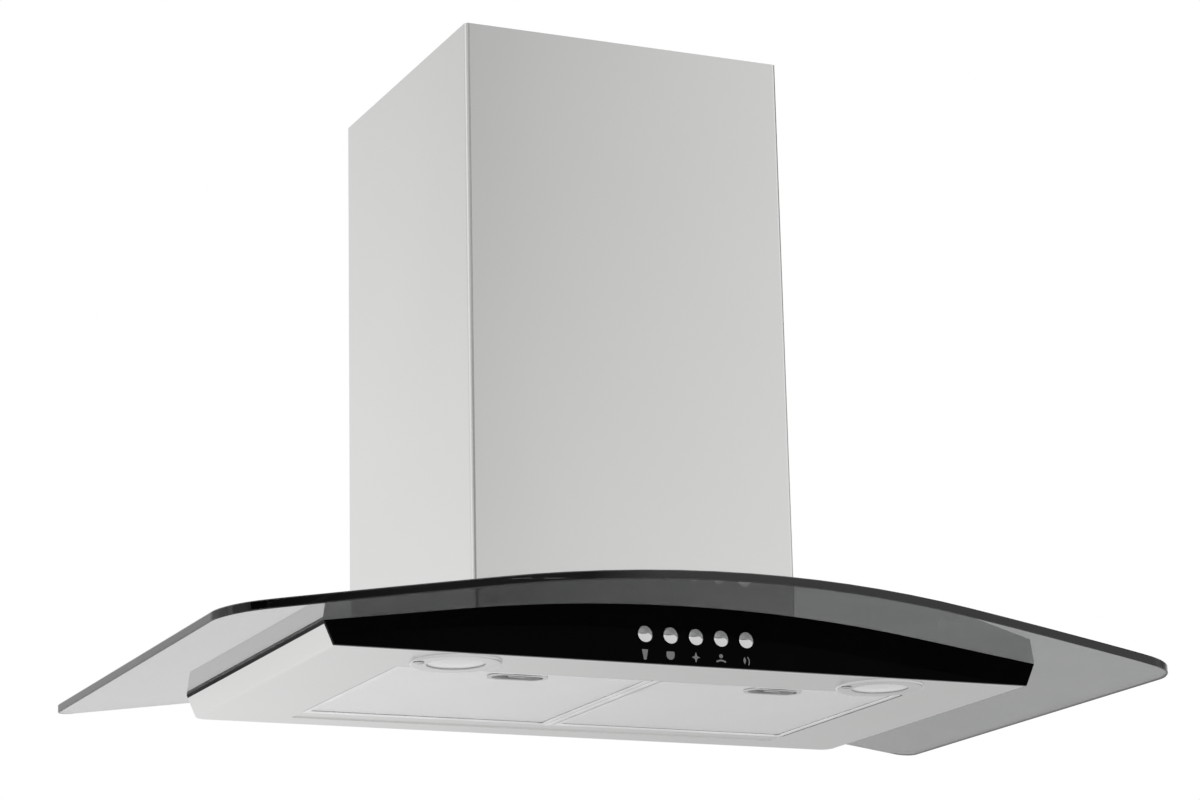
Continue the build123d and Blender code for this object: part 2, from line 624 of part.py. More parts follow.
def filter_divider():
    """Rail along the middle of the filter opening, with a foot on the floor in front."""
    half = DIVIDER_W / 2
    rail = block(-half, half, OPENING_FRONT_Y, DIVIDER_REAR_Y, 0, 2 * SHEET)
    rail = chamfer(rail.edges().filter_by(Axis.Y).group_by(Axis.Z)[0], SHEET / 2)
    return rail + block(-half, half, OPENING_FRONT_Y - LEDGE_OVERLAP, OPENING_FRONT_Y, SHEET, 2 * SHEET)


def filter_ledge():
    """Strip behind the filters, lying on the floor, with a rolled edge that their tabs hook over."""
    half = OPENING_HALF + LEDGE_OVERLAP
    ledge = block(-half, half, BEAD_Y, OPENING_REAR_Y + LEDGE_OVERLAP, SHEET, 2 * SHEET)
    ledge = fillet(ledge.edges().filter_by(Axis.Z), 3 * SHEET)
    return ledge + rod_x(-OPENING_HALF + EDGE_GAP, OPENING_HALF - EDGE_GAP, BEAD_Y, BEAD_Z, BEAD_R)


# ---- Blower box ----

def air_opening():
    """Half width, front and rear of the air opening in the cover and the blower box's floor."""
    return HALF_BOX - BOX_FLANGE, -BOX_DEPTH + BOX_FLANGE, BODY_REAR - BOX_FLANGE


def box_screw_places():
    """Screws through the blower box's floor flange, two on each side."""
    x = HALF_BOX - BOX_FLANGE / 2
    _, front, rear = air_opening()
    return [(s * x, y) for s in (-1, 1) for y in (front + 2 * BOX_FLANGE, rear - 2 * BOX_FLANGE)]


def wall_hole_places():
    return [(sx * HOLE_SPAN_X / 2, HOLE_MID_Z + sz * HOLE_SPAN_Z / 2) for sx in (-1, 1) for sz in (-1, 1)]


def outlet_corners():
    """Corners in plan where the scroll's outlet flange is screwed up to the box."""
    x = HALF_SCROLL + SCROLL_T + SCROLL_FLANGE / 2
    front, rear = OUTLET_FRONT_Y + SCROLL_FLANGE, OUTLET_REAR_Y - SCROLL_FLANGE
    return [(s * x, y) for s in (-1, 1) for y in (front, rear)]


def adapter_extent():
    """Rear and front of the outlet adapter's flange."""
    front = min(OUTLET_FRONT_Y, DUCT_Y - DUCT_R) - ADAPTER_FLANGE / 2
    return front, DUCT_Y + DUCT_R + ADAPTER_FLANGE


def adapter_screw_places():
    front, rear = adapter_extent()
    x = DUCT_R + ADAPTER_FLANGE / 2
    return [(s * x, y) for s in (-1, 1) for y in (front + ADAPTER_FLANGE, rear - ADAPTER_FLANGE / 2)]


def blower_box():
    """Steel box on the wall that carries the blower, open below to the filters."""
    outer = block(-HALF_BOX, HALF_BOX, -BOX_DEPTH, 0, 0, BOX_TOP)
    inner = block(-HALF_BOX + SHEET, HALF_BOX - SHEET, -BOX_DEPTH + SHEET, -SHEET, -CUT, BOX_CEILING)
    box = outer - inner
    box -= below_bend(SEAL_FACE, HALF_GLASS, -FAR / 4, -FAR / 2, CUT)
    floor = bent_slab(SEAL_FACE - SHEET, SEAL_FACE, HALF_BOX - SHEET, -BOX_DEPTH + SHEET, -SHEET)
    half, front, rear = air_opening()
    box += floor - block(-half, half, front, rear, 0, FAR)
    for x, z in wall_hole_places():
        box -= rod_y(x, -SHEET - CUT, CUT, z, HOLE_R)
    box -= block(-HALF_SCROLL, HALF_SCROLL, OUTLET_FRONT_Y, OUTLET_REAR_Y, BOX_CEILING - CUT, BOX_TOP + CUT)
    for x, y in outlet_corners() + adapter_screw_places():
        box -= rod(x, y, BOX_CEILING - CUT, BOX_TOP + CUT, SCREW_R + SCREW_CLEARANCE)
    for x, y in box_screw_places():
        box -= rod(x, y, 0, GLASS_TOP + CUT, SCREW_R + SCREW_CLEARANCE)
    return box


def hanging_plate(side):
    """Stiffening strip inside the box's back, round the wall screw holes of one side."""
    x = side * HOLE_SPAN_X / 2
    reach = HOLE_SPAN_Z / 2 + PLATE_W / 2
    half = PLATE_W / 2
    plate = block(x - half, x + half, -SHEET - PLATE_T, -SHEET, HOLE_MID_Z - reach, HOLE_MID_Z + reach)
    plate = fillet(plate.edges().filter_by(Axis.Y), PLATE_W / 5)
    for hole_x, z in wall_hole_places():
        plate -= rod_y(hole_x, -SHEET - PLATE_T - CUT, 0, z, HOLE_R)
    return plate


def blower_box_screws():
    """Screws through the box's floor flange into the cover."""
    pieces = []
    for x, y in box_screw_places():
        seat = bend_z(abs(x) - SCREW_HEAD_R, SEAL_FACE - SHEET) + SEAT
        pieces.append(screw(x, y, seat, 2 * SHEET + SCREW_END + SEAT).solid())
    return group(pieces)


def scroll_screws():
    """Screws that hang the scroll from the box's roof, heads inside below the flange."""
    place = BOX_CEILING - SCROLL_T - SEAT / 3
    turned = Rot(180, 0, 0) * screw(0, 0, 0, SCROLL_T + SHEET)
    return group((Pos(x, y, place) * turned).solid() for x, y in outlet_corners())


# ---- Blower ----

def scroll_outline(grow, top):
    """Spiral of quarter arcs of falling radius with an upright outlet, moved out by `grow`, in Y and Z."""
    s = SCROLL_STEP
    r = [SCROLL_MAX + grow - i * s for i in range(4)]
    front = FAN_Y - r[0]
    c1, c2, c3 = (FAN_Y, FAN_Z - s), (FAN_Y + s, FAN_Z - s), (FAN_Y + s, FAN_Z)
    tongue = asin((SCROLL_END * sin(radians(SCROLL_TONGUE)) - grow) / r[3])
    end = (c3[0] - r[3] * sin(tongue), c3[1] + r[3] * cos(tongue))
    d = sqrt(0.5)
    low = (FAN_Y, FAN_Z - r[0])
    back = (c1[0] + r[1], c1[1])
    high = (c2[0], c2[1] + r[2])
    return make_face([
        Line((front, top), (front, FAN_Z)),
        ThreePointArc((front, FAN_Z), (FAN_Y - r[0] * d, FAN_Z - r[0] * d), low),
        ThreePointArc(low, (c1[0] + r[1] * d, c1[1] - r[1] * d), back),
        ThreePointArc(back, (c2[0] + r[2] * d, c2[1] + r[2] * d), high),
        ThreePointArc(high, (c3[0] - r[3] * sin(tongue / 2), c3[1] + r[3] * cos(tongue / 2)), end),
        Polyline(end, (end[0], top), (front, top)),
    ])


def scroll_housing():
    """Snail-shaped fan casing with an inlet in each cheek and a flange round its upright outlet."""
    half = HALF_SCROLL + SCROLL_T
    casing = Pos(-half, 0, 0) * extrude(Plane.YZ * scroll_outline(SCROLL_T, BOX_CEILING), 2 * half)
    casing -= Pos(-HALF_SCROLL, 0, 0) * extrude(Plane.YZ * scroll_outline(0, BOX_CEILING + CUT), SCROLL_WIDTH)
    wide = half + SCROLL_FLANGE
    foot = BOX_CEILING - SCROLL_T
    rim = block(-wide, wide, OUTLET_FRONT_Y - SCROLL_T, OUTLET_REAR_Y + SCROLL_T, foot, BOX_CEILING)
    rim -= block(-HALF_SCROLL, HALF_SCROLL, OUTLET_FRONT_Y, OUTLET_REAR_Y, foot - CUT, BOX_TOP)
    casing += rim
    for x, y in outlet_corners():
        casing -= rod(x, y, foot - CUT, BOX_TOP, SCREW_R + SCREW_CLEARANCE)
    return casing - rod_x(-half - CUT, half + CUT, FAN_Y, FAN_Z, INLET_R + INLET_LIP)


def inlet_ring(side):
    """Bell mouth in one cheek of the scroll."""
    face = HALF_SCROLL + SCROLL_T
    lip = INLET_LIP
    wall = SCROLL_T
    mouth = (face - lip, INLET_R)
    rim = (face + wall, INLET_R + lip)
    waist = (face - lip * 0.45, INLET_R + lip * 0.28)
    profile = make_face([
        Polyline(mouth, (face - lip, INLET_R + wall), (face, INLET_R + lip), (face, INLET_RIM_R),
                 (face + wall, INLET_RIM_R), rim),
        ThreePointArc(rim, waist, mouth),
    ])
    ring = revolve(profile, Axis.X)
    if side < 0:
        ring = mirror(ring, Plane.YZ)
    return Pos(0, FAN_Y, FAN_Z) * ring


def impeller():
    """Double-inlet fan wheel: forward-curved blades between two rings and a middle disc with a hub."""
    inner = FAN_R - FAN_BLADE_DEPTH
    half = FAN_WIDTH / 2
    sweep = radians(BLADE_SWEEP)
    thick = radians(BLADE_ANGLE)

    def blade_side(turn):
        """Curved side of a blade from its root to its tip, turned on by an angle."""
        stops = [(inner, turn), ((inner + FAN_R) / 2, turn + sweep / 5), (FAN_R, turn + sweep)]
        return [(r * cos(angle), r * sin(angle)) for r, angle in stops]

    near, far = blade_side(0), blade_side(thick)
    sides = [ThreePointArc(*near), ThreePointArc(*far)]
    blade = make_face(sides + [Line(near[0], far[0]), Line(near[2], far[2])])
    blade = Pos(-half, 0, 0) * extrude(Plane.YZ * blade, FAN_WIDTH)
    wheel = rod_x(-FAN_DISC_T / 2, FAN_DISC_T / 2, 0, 0, FAN_R - FAN_RING)
    for s in (-1, 1):
        x = s * (half - FAN_RING / 2)
        ring = rod_x(x - FAN_RING / 2, x + FAN_RING / 2, 0, 0, FAN_R + FAN_RING / 3)
        wheel += ring - rod_x(x - FAN_RING, x + FAN_RING, 0, 0, FAN_R - FAN_RING)
    wheel += [Rot(360 * i / FAN_BLADES, 0, 0) * blade for i in range(FAN_BLADES)]
    wheel += rod_x(-FAN_DISC_T, HUB_L - FAN_DISC_T, 0, 0, HUB_R)
    wheel -= rod_x(-HUB_L, HUB_L + CUT, 0, 0, SHAFT_R)
    return Pos(0, FAN_Y, FAN_Z) * wheel


def motor_ends():
    """Rear and front of the motor along X."""
    return -HALF_SCROLL - SCROLL_T - SCROLL_T, -MOTOR_FRONT_GAP


def fan_motor():
    """Motor can with a ribbed barrel, bearing seats at both ends and a shaft tunnel."""
    rear, front = motor_ends()
    can = rod_x(rear, front, FAN_Y, FAN_Z, MOTOR_END_R)
    can = fillet(can.edges().sort_by(Axis.X)[-1], MOTOR_R / 10)
    body_l = (front - rear) / 2
    middle = (front + rear) / 2
    can += rod_x(middle - body_l / 2, middle + body_l / 2, FAN_Y, FAN_Z, MOTOR_R)
    for i in range(3):
        x = middle + (i - 1) * body_l / 4
        groove = rod_x(x - MOTOR_RIB / 2, x + MOTOR_RIB / 2, FAN_Y, FAN_Z, MOTOR_R + CUT)
        can -= groove - rod_x(x - MOTOR_RIB, x + MOTOR_RIB, FAN_Y, FAN_Z, MOTOR_R - MOTOR_RIB)
    can -= rod_x(rear - CUT, front + CUT, FAN_Y, FAN_Z, SHAFT_R + 2 * SEAT)
    can -= rod_x(rear - CUT, rear + BEARING_L, FAN_Y, FAN_Z, BEARING_R)
    can -= rod_x(front - BEARING_L, front + CUT, FAN_Y, FAN_Z, BEARING_R)
    for y, z in motor_screw_places():
        can -= rod_x(rear - CUT, rear + 5 * SCREW_R, y, z, SCREW_R + SCREW_CLEARANCE)
    return can


def motor_screw_places():
    """Three places in Y and Z, on the bracket's arms."""
    r = MOTOR_SCREW_CIRCLE
    angles = [radians(90 + 120 * i) for i in range(3)]
    return [(FAN_Y + r * cos(a), FAN_Z + r * sin(a)) for a in angles]


def motor_bearings():
    """A plain bush at each end of the motor."""
    rear, front = motor_ends()
    bushes = []
    bore = rod_x(rear - CUT, front + CUT, FAN_Y, FAN_Z, SHAFT_R + SHAFT_CLEARANCE)
    for x0 in (rear, front - BEARING_L):
        bushes.append((rod_x(x0, x0 + BEARING_L, FAN_Y, FAN_Z, BEARING_R) - bore).solid())
    return group(bushes)


def motor_shaft():
    """Shaft from behind the rear bush to the impeller's hub, with chamfered ends."""
    rear, _ = motor_ends()
    shaft = rod_x(rear - BRACKET_T, HUB_L - FAN_DISC_T, FAN_Y, FAN_Z, SHAFT_R)
    return chamfer(shaft.edges().filter_by(GeomType.CIRCLE), SHAFT_R / 8)


def motor_bracket():
    """Three-armed spider across the left inlet that carries the motor."""
    rear, _ = motor_ends()
    outer = INLET_RIM_R
    inner = INLET_RIM_R - INLET_LIP
    x0, x1 = rear - BRACKET_T, rear
    spider = rod_x(x0, x1, 0, 0, outer) - rod_x(x0 - CUT, x1 + CUT, 0, 0, inner)
    for i in range(3):
        arm = block(x0, x1, MOTOR_R * 0.5, inner + CUT, -BRACKET_ARM / 2, BRACKET_ARM / 2)
        spider += Rot(90 + 120 * i, 0, 0) * arm
    spider += rod_x(x0, x1, 0, 0, MOTOR_END_R)
    spider -= rod_x(x0 - CUT, x1 + CUT, 0, 0, SHAFT_R + 4 * SEAT)
    spider = Pos(0, FAN_Y, FAN_Z) * spider
    for y, z in motor_screw_places():
        spider -= rod_x(x0 - CUT, x1 + CUT, y, z, SCREW_R + SCREW_CLEARANCE)
    return spider


def motor_screws():
    """Three screws through the spider into the motor."""
    rear, _ = motor_ends()
    turned = Rot(0, -90, 0) * screw(0, 0, 0, BRACKET_T + 4 * SCREW_R)
    return group((Pos(rear - BRACKET_T, y, z) * turned).solid() for y, z in motor_screw_places())


# ---- Duct outlet ----

def outlet_adapter():
    """Moulding that leads from the rectangular outlet to a round spigot, with a seat ring for the flaps."""
    front, rear = adapter_extent()
    half = DUCT_R + ADAPTER_FLANGE
    foot = BOX_TOP + ADAPTER_FLANGE_T
    outlet_y = (OUTLET_FRONT_Y + OUTLET_REAR_Y) / 2
    outlet_d = OUTLET_REAR_Y - OUTLET_FRONT_Y

    def mouth(grow):
        return RectangleRounded(SCROLL_WIDTH + 2 * grow, outlet_d + 2 * grow, ADAPTER_CORNER_R + grow)

    def passage(grow):
        ring = Pos(0, DUCT_Y, SPIGOT_Z) * Circle(DUCT_R - DUCT_WALL + grow)
        return loft([(Pos(0, outlet_y, foot) * mouth(grow)).face(), ring.face()])

    flange = block(-half, half, front, rear, BOX_TOP, foot)
    flange = fillet(flange.edges().filter_by(Axis.Z), ADAPTER_FLANGE / 2)
    body = flange + passage(DUCT_WALL)
    body += rod(0, DUCT_Y, SPIGOT_Z, SPIGOT_Z + DUCT_LENGTH, DUCT_R)
    body -= passage(0)
    body -= Pos(0, outlet_y, BOX_TOP - CUT) * extrude(mouth(0), ADAPTER_FLANGE_T + CUT)
    seat_top = FLAP_Z - FLAP_T / 2 - SEAT
    bore = rod(0, DUCT_Y, SPIGOT_Z, SPIGOT_Z + DUCT_LENGTH + CUT, DUCT_R - DUCT_WALL)
    seat = rod(0, DUCT_Y, seat_top - DUCT_WALL, seat_top, DUCT_R)
    seat -= rod(0, DUCT_Y, SPIGOT_Z, seat_top + CUT, DUCT_R - DUCT_WALL - FLAP_SEAT)
    body -= bore - seat
    body -= rod_x(-DUCT_R - CUT, DUCT_R + CUT, DUCT_Y, FLAP_Z, FLAP_PIN_R)
    for x, y in adapter_screw_places():
        body -= rod(x, y, BOX_TOP - CUT, foot + CUT, SCREW_R + SCREW_CLEARANCE)
    return body


def adapter_screws():
    """Screws through the adapter's flange into the box's roof."""
    top = BOX_TOP + ADAPTER_FLANGE_T
    length = ADAPTER_FLANGE_T + SHEET + SCREW_END
    return group(screw(x, y, top, length).solid() for x, y in adapter_screw_places())


def flap_pin():
    """Pin across the spigot that both flaps turn on."""
    half = DUCT_R - DUCT_WALL / 4
    return rod_x(-half, half, DUCT_Y, FLAP_Z, FLAP_PIN_R)


def damper_flap(side):
    """Half-round flap with two knuckles on the pin. Side -1 is the front one, 1 the rear one."""
    r = DUCT_R - DUCT_WALL - FLAP_EDGE_GAP
    start = FLAP_KNUCKLE_R + SEAT
    disc = rod(0, DUCT_Y, FLAP_Z - FLAP_T / 2, FLAP_Z + FLAP_T / 2, r)
    near, far = sorted((DUCT_Y + side * start, DUCT_Y + side * FAR))
    plate = disc & block(-FAR, FAR, near, far, 0, FAR)
    length = FLAP_HINGE_SHARE * 2 * r / FLAP_KNUCKLES
    for i in range(max(side, 0), FLAP_KNUCKLES, 2):
        x = (i - (FLAP_KNUCKLES - 1) / 2) * length
        reach = length / 2 - SEAT
        near, far = sorted((DUCT_Y, DUCT_Y + side * (start + CUT)))
        plate += rod_x(x - reach, x + reach, DUCT_Y, FLAP_Z, FLAP_KNUCKLE_R)
        plate += block(x - reach, x + reach, near, far, FLAP_Z - FLAP_T / 2, FLAP_Z + FLAP_T / 2)
    return plate - rod_x(-FAR, FAR, DUCT_Y, FLAP_Z, FLAP_PIN_R + SHAFT_CLEARANCE)


# ---- Chimney covers ----

def cover_section(inset):
    """U-shaped sheet in plan, open to the wall between two rear lips, moved in by `inset`."""
    front = -CHIMNEY_DEPTH + inset
    rear = -WALL_GAP - inset
    half = HALF_CHIMNEY - inset
    depth = rear - front

    def plan(offset):
        plate = Pos(0, (front + rear) / 2) * Rectangle(2 * (half - offset), depth - 2 * offset)
        return fillet(plate.vertices(), max(CHIMNEY_FOLD - offset, SHEET / 2))

    wide = half - CHIMNEY_LIP
    mouth = Pos(0, rear) * Rectangle(2 * wide, 4 * CHIMNEY_LIP)
    return plan(0) - plan(SHEET) - mouth


def lower_chimney_cover():
    """Outer cover, standing on the glass, with its foot cut to the bend."""
    cover = extrude(cover_section(0), CHIMNEY_TOP)
    return cover - below_bend(-SEAT, HALF_GLASS, -FAR / 4, -FAR / 2, CUT)


def upper_chimney_cover():
    """Inner cover that slides up out of the outer one."""
    inset = SHEET + SLIDE_GAP
    top = CHIMNEY_TOP - UPPER_DROP
    return Pos(0, 0, top - UPPER_LENGTH) * extrude(cover_section(inset), UPPER_LENGTH)


def chimney_wall_bracket():
    """Wall strip with two holes, stepped forward at its ends into tabs inside the sliding cover's head."""
    inset = SHEET + SLIDE_GAP
    side = HALF_CHIMNEY - inset - SHEET
    back = -WALL_GAP - inset - SHEET
    top = CHIMNEY_TOP - UPPER_DROP - BRACKET_INSET
    foot = top - BRACKET_H
    reach = HALF_CHIMNEY - CHIMNEY_LIP - 2 * BRACKET_T
    strip = block(-reach, reach, -BRACKET_T, 0, foot, top)
    for s in (-1, 1):
        step = sorted((s * reach, s * (reach - BRACKET_T)))
        strip += block(*step, back - BRACKET_T, 0, foot, top)
        wing = sorted((s * side, s * (reach - BRACKET_T)))
        strip += block(*wing, back - BRACKET_T, back, foot, top)
        tab = sorted((s * side, s * (side - BRACKET_T)))
        strip += block(*tab, back - BRACKET_TAB, back, foot, top)
    corners = [e for e in strip.edges().filter_by(Axis.Z) if abs(e.center().X) > side - SHEET / 2]
    strip = fillet([e for e in corners if e.center().Y > back - SHEET / 2], CHIMNEY_FOLD)
    for s in (-1, 1):
        strip -= rod_y(s * BRACKET_SPAN / 2, -BRACKET_T - CUT, CUT, top - BRACKET_H / 2, BRACKET_HOLE_R)
    return strip


# ---- Electrics ----

def terminal_place():
    """Middle of the terminal box on the blower box's roof."""
    return HALF_BOX - SHEET - TERMINAL_W / 2, -3 * BOX_FLANGE / 2 - TERMINAL_L / 2


def terminal_box():
    """Moulded connection box with a lid line and the mains cable's hole."""
    x, y = terminal_place()
    z1 = BOX_TOP + TERMINAL_H
    case = block(x - TERMINAL_W / 2, x + TERMINAL_W / 2, y - TERMINAL_L / 2, y + TERMINAL_L / 2, BOX_TOP, z1)
    case = fillet(case.edges().filter_by(Axis.Z), TERMINAL_CORNER_R)
    case = fillet(case.faces().sort_by(Axis.Z)[-1].edges(), TERMINAL_EDGE_R)
    lid = z1 - TERMINAL_H / 4
    groove = block(x - TERMINAL_W, x + TERMINAL_W, y - TERMINAL_L, y + TERMINAL_L, lid, lid + LID_LINE / 2)
    half_w = TERMINAL_W / 2 - LID_LINE
    half_l = TERMINAL_L / 2 - LID_LINE
    case -= groove - block(x - half_w, x + half_w, y - half_l, y + half_l, 0, FAR)
    return case - rod(x, y, z1 - TERMINAL_H / 3, z1 + CUT, GLAND_R * 0.6)


def cable_gland():
    """Hexagonal gland on the terminal box, with the cable's bore."""
    x, y = terminal_place()
    z = BOX_TOP + TERMINAL_H
    nut = Pos(x, y, z) * extrude(RegularPolygon(GLAND_R, 6), GLAND_H * 0.45)
    dome = rod(x, y, z + GLAND_H * 0.45, z + GLAND_H, GLAND_R * 0.75)
    dome = fillet(dome.edges().sort_by(Axis.Z)[-1], GLAND_R / 4)
    return nut + dome - rod(x, y, z - CUT, z + GLAND_H + CUT, GLAND_R * 0.4)


def capacitor_place():
    x, y = terminal_place()
    return -x, y


def run_capacitor():
    """Motor capacitor: a round can with two blade terminals on top."""
    x, y = capacitor_place()
    z1 = BOX_TOP + CAPACITOR_H
    can = rod(x, y, BOX_TOP, z1, CAPACITOR_R)
    can = fillet(can.edges().sort_by(Axis.Z)[-1], CAPACITOR_R / 8)
    blade = Pos(x, y, z1 + (BLADE_H - CUT) / 2) * Box(BLADE_T, BLADE_W, BLADE_H + CUT)
    for s in (-1, 1):
        can += Pos(s * BLADE_W, 0, 0) * blade
    return can


def capacitor_strap():
    """Band round the capacitor with a foot on the box's roof."""
    x, y = capacitor_place()
    z0 = BOX_TOP + CAPACITOR_H / 3
    r = CAPACITOR_R + SEAT + STRAP_T
    band = rod(x, y, z0, z0 + STRAP_H, r)
    near, far = x - STRAP_H / 2, x + STRAP_H / 2
    band += block(near, far, y - r - STRAP_T / 2, y - r + STRAP_T, BOX_TOP, z0 + STRAP_H)
    band += block(near, far, y - r - STRAP_H, y - r + STRAP_T, BOX_TOP, BOX_TOP + STRAP_T)
    return band - rod(x, y, BOX_TOP - CUT, z0 + STRAP_H + CUT, CAPACITOR_R + SEAT)


# ---- Save every piece ----

def save(node, shape):
    """Write one piece, set down from the drawing's zero to the middle of the wall screw holes."""
    export_step(Pos(0, 0, -HOLE_MID_Z) * shape, f"parts/{node}.step")


def main():
    os.makedirs("parts", exist_ok=True)
    save("glass_canopy", glass_canopy())
    save("glass_seal", glass_seal())
    save("glass_washers", glass_washers())
    save("glass_screws", glass_screws())
    save("underside_pan", underside_pan())
    save("body_top_cover", body_top_cover())
    save("control_fascia", control_fascia())
    for name, x in zip(BUTTON_NAMES, button_places()):
        save(f"button_{name}", push_button(x))
    save("switch_housing", switch_housing())
    for name, side in SIDES.items():
        save(f"lamp_bezel_{name}", lamp_bezel(side * LAMP_X))
        save(f"lamp_lens_{name}", lamp_lens(side * LAMP_X))
        save(f"lamp_body_{name}", lamp_can(side * LAMP_X))
        save(f"filter_frame_{name}", filter_frame(side))
        save(f"filter_mesh_{name}", filter_mesh(side))
        save(f"latch_cup_{name}", latch_cup(side))
        save(f"latch_slider_{name}", latch_slider(side))
        save(f"hanging_plate_{name}", hanging_plate(side))
        save(f"inlet_ring_{name}", inlet_ring(side))
    save("lamp_screws", lamp_screws())
    save("filter_divider", filter_divider())
    save("filter_ledge", filter_ledge())
    save("blower_box", blower_box())
    save("blower_box_screws", blower_box_screws())
    save("scroll_housing", scroll_housing())
    save("scroll_screws", scroll_screws())
    save("impeller", impeller())
    save("fan_motor", fan_motor())
    save("motor_bearings", motor_bearings())
    save("motor_shaft", motor_shaft())
    save("motor_bracket", motor_bracket())
    save("motor_screws", motor_screws())
    save("outlet_adapter", outlet_adapter())
    save("adapter_screws", adapter_screws())
    save("flap_pin", flap_pin())
    save("damper_flap_front", damper_flap(-1))
    save("damper_flap_rear", damper_flap(1))
    save("lower_chimney_cover", lower_chimney_cover())
    save("upper_chimney_cover", upper_chimney_cover())
    save("chimney_wall_bracket", chimney_wall_bracket())
    save("terminal_box", terminal_box())
    save("cable_gland", cable_gland())
    save("run_capacitor", run_capacitor())
    save("capacitor_strap", capacitor_strap())


main()
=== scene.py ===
import json
from math import cos, pi, radians, sin

import bmesh
import bpy
from mathutils import Matrix, Vector


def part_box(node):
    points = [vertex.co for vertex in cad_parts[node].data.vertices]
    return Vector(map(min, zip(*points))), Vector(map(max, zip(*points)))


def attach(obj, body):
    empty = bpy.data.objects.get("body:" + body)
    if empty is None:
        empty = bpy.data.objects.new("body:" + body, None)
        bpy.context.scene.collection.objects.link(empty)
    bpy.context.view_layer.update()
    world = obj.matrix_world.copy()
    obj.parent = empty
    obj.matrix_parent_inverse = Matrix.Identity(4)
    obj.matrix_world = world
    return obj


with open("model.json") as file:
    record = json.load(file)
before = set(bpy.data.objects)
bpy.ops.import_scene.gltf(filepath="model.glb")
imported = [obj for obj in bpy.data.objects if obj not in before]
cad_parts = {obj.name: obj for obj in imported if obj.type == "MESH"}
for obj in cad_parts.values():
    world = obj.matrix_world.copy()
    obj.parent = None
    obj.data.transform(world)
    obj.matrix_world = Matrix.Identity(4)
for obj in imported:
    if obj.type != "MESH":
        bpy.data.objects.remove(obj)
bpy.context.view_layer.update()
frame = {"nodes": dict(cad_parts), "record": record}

MM = 0.001
WHITE = (1, 1, 1, 1)
PLAIN = (1.0, 1.0, 1.0)         # tint of a neutral grey


# ---- Node trees ----

def add(tree, kind, inputs=None, **settings):
    """A node of a kind, with its settings, and its inputs set to values or joined to sockets."""
    node = tree.nodes.new(kind)
    for key, value in settings.items():
        setattr(node, key, value)
    for key, value in (inputs or {}).items():
        if isinstance(value, bpy.types.NodeSocket):
            tree.links.new(value, node.inputs[key])
        else:
            node.inputs[key].default_value = value
    return node


def math_node(tree, operation, a, b=0.0, clamp=False):
    """Result of a sum on two values or sockets."""
    return add(tree, "ShaderNodeMath", {0: a, 1: b}, operation=operation, use_clamp=clamp).outputs[0]


def vector_node(tree, operation, a, b=(0.0, 0.0, 0.0)):
    """Node that works out a vector or a number from two vectors or sockets."""
    return add(tree, "ShaderNodeVectorMath", {0: a, 1: b}, operation=operation)


def remap(tree, value, low, high, to_low=0.0, to_high=1.0):
    """A value moved from one range to another and kept inside it."""
    ends = {"Value": value, "From Min": low, "From Max": high, "To Min": to_low, "To Max": to_high}
    return add(tree, "ShaderNodeMapRange", ends).outputs[0]


def choose(tree, factor, first, second):
    """Value between two values or sockets."""
    ends = {"Factor": factor, "A": first, "B": second}
    return add(tree, "ShaderNodeMix", ends, data_type="FLOAT").outputs[0]


def new_group(name, inputs, outputs):
    """An empty node group with named sockets. Returns the group, its inputs and its output node."""
    tree = bpy.data.node_groups.new(name, "ShaderNodeTree")
    for label, kind, value in inputs:
        socket = tree.interface.new_socket(label, in_out="INPUT", socket_type=kind)
        socket.default_value = value
    for label, kind in outputs:
        tree.interface.new_socket(label, in_out="OUTPUT", socket_type=kind)
    start = tree.nodes.new("NodeGroupInput")
    end = tree.nodes.new("NodeGroupOutput")
    return tree, start.outputs, end


def brush_lines_group():
    """Fine lines of a brushed surface, with slow clouds of lighter and darker metal."""
    tree, given, end = new_group("brush_lines", [
        ("Place", "NodeSocketVector", (0, 0, 0)),
        ("Stretch", "NodeSocketVector", (1, 1, 1)),
    ], [("Lines", "NodeSocketFloat"), ("Clouds", "NodeSocketFloat")])
    stretched = vector_node(tree, "MULTIPLY", given["Place"], given["Stretch"]).outputs[0]
    fine = add(tree, "ShaderNodeTexNoise", {"Vector": stretched, "Scale": 1.0, "Detail": 4.0})
    slow = add(tree, "ShaderNodeTexNoise", {"Vector": given["Place"], "Scale": 3.5, "Detail": 2.0})
    tree.links.new(remap(tree, fine.outputs[0], 0.3, 0.7), end.inputs["Lines"])
    tree.links.new(remap(tree, slow.outputs[0], 0.35, 0.65), end.inputs["Clouds"])
    return tree


def edge_wear_and_highlight_group():
    """Mask that is 1 on rounded corners and 0 elsewhere, broken up by specks: worn corners, and on brushed
    steel a painted highlight along its folds.
    """
    tree, given, end = new_group("edge_wear_and_highlight", [
        ("Place", "NodeSocketVector", (0, 0, 0)),
        ("Amount", "NodeSocketFloat", 0.5),
    ], [("Mask", "NodeSocketFloat")])
    rounded = add(tree, "ShaderNodeBevel", {"Radius": 0.0012}, samples=4).outputs[0]
    flat = add(tree, "ShaderNodeNewGeometry").outputs["Normal"]
    likeness = vector_node(tree, "DOT_PRODUCT", rounded, flat).outputs["Value"]
    edge = remap(tree, likeness, 0.985, 0.85)
    specks = add(tree, "ShaderNodeTexNoise", {"Vector": given["Place"], "Scale": 140.0, "Detail": 3.0})
    broken = math_node(tree, "MULTIPLY", edge, remap(tree, specks.outputs[0], 0.4, 0.6, 0.3, 1.0))
    tree.links.new(math_node(tree, "MULTIPLY", broken, given["Amount"], clamp=True), end.inputs["Mask"])
    return tree


